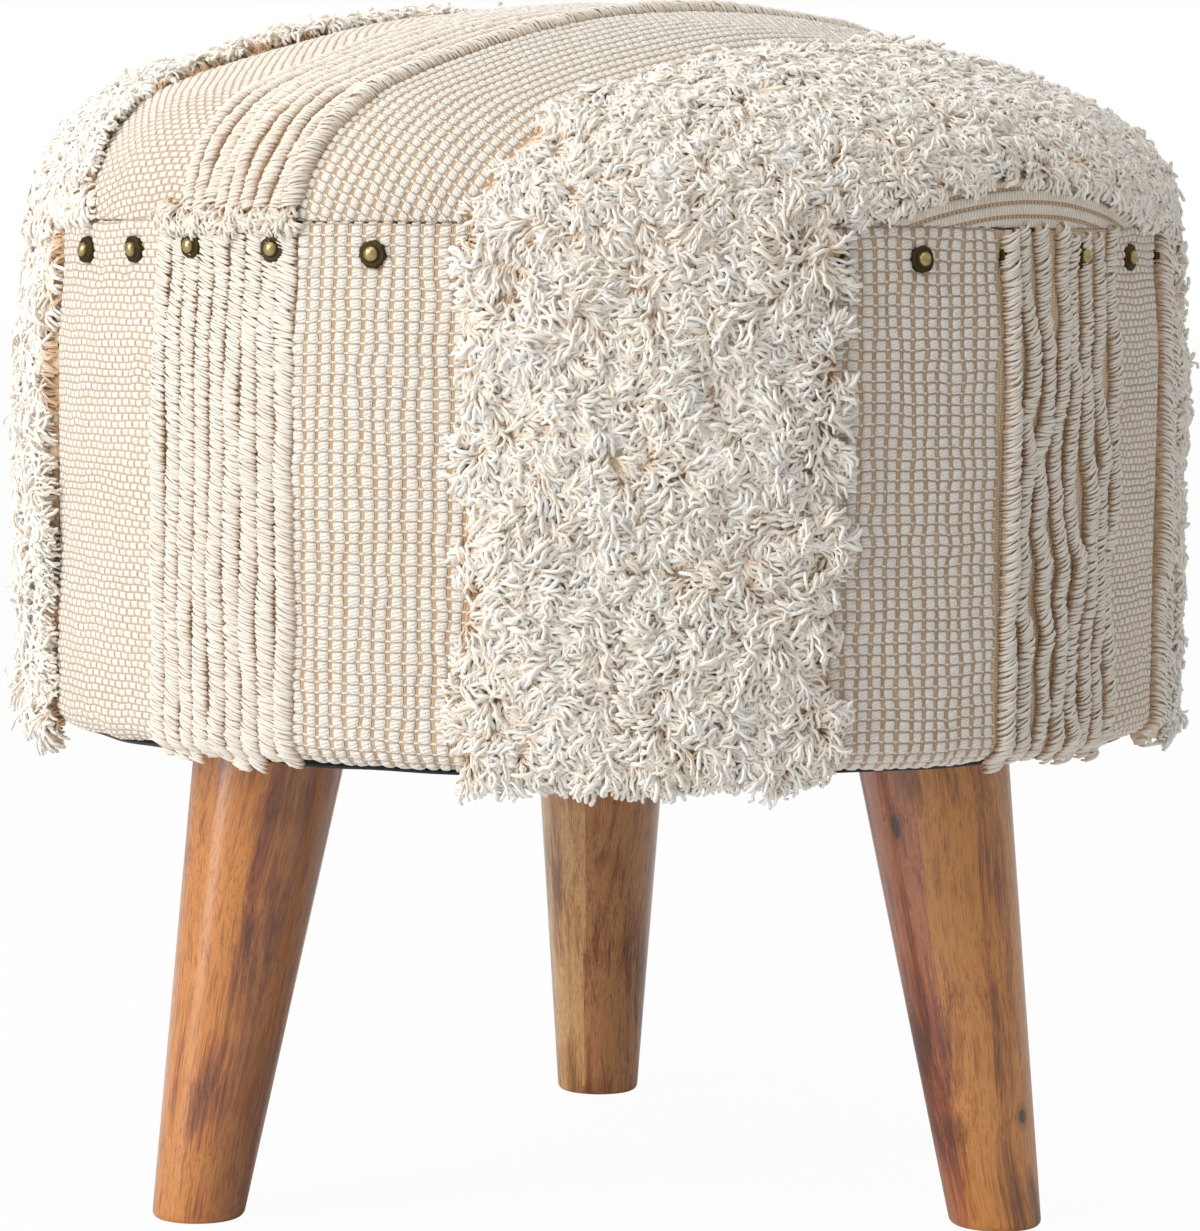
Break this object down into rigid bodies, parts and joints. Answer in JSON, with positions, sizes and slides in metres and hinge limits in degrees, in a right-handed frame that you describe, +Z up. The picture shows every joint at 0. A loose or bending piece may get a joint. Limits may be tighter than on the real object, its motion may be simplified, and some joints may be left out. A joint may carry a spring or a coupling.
{
  "type": "ottoman",
  "caption": "Round upholstered ottoman on splayed tapered wooden legs, covered in undyed handwoven cotton with bands of shag pile and cord ribs and a row of brass dome nails.",
  "frame": {"origin": "on the floor, under the drum's axis", "axes": "+X to the right as the picture shows it, +Y away from the viewer, +Z up"},
  "size_m": [0.4532, 0.4532, 0.4508],
  "materials": {
    "leg_wood": "satin lacquer over warm brown laminated hardwood",
    "block_wood": "sawn, unfinished",
    "post_wood": "sawn, unfinished",
    "plywood": "sanded, unfinished",
    "hardboard": "smooth, unfinished",
    "steel": "zinc plated",
    "antique_brass": "antique, rubbed on the domes",
    "cotton_weave": "handwoven undyed cotton with tan warps",
    "cotton_cord": "loose twisted undyed cotton cord",
    "cotton_pile": "cut undyed cotton yarn pile",
    "wadding": "needled polyester wadding",
    "fibre_fill": "loose polyester fibre",
    "foam": "open-cell polyurethane foam",
    "black_cambric": "black non-woven cloth"
  },
  "bodies": {
    "root": {"leg_left": "leg_wood", "leg_right": "leg_wood", "leg_rear": "leg_wood", "leg_block_left": "block_wood", "leg_block_right": "block_wood", "leg_block_rear": "block_wood", "hanger_bolts": "steel", "leg_nuts": "steel", "block_brads": "steel", "post_brads": "steel", "base_board": "plywood", "seat_board": "plywood", "post_1": "post_wood", "post_2": "post_wood", "post_3": "post_wood", "post_4": "post_wood", "post_5": "post_wood", "post_6": "post_wood", "drum_wall": "hardboard", "side_cover": "cotton_weave", "top_cover": "cotton_weave", "side_wadding": "wadding", "seat_foam": "foam", "crown_fill": "fibre_fill", "dust_cover": "black_cambric", "side_cover_staples": "steel", "dust_cover_staples": "steel", "dome_nails": "antique_brass", "cord_band_front_left": "cotton_cord", "cord_band_front_right": "cotton_cord", "cord_band_rear_right": "cotton_cord", "cord_band_rear_left": "cotton_cord", "top_cords": "cotton_cord", "pile_band_front": "cotton_pile", "pile_band_right": "cotton_pile", "pile_band_rear": "cotton_pile", "pile_band_left": "cotton_pile", "top_pile_left": "cotton_pile", "top_pile_right": "cotton_pile"}
  },
  "joints": []
}
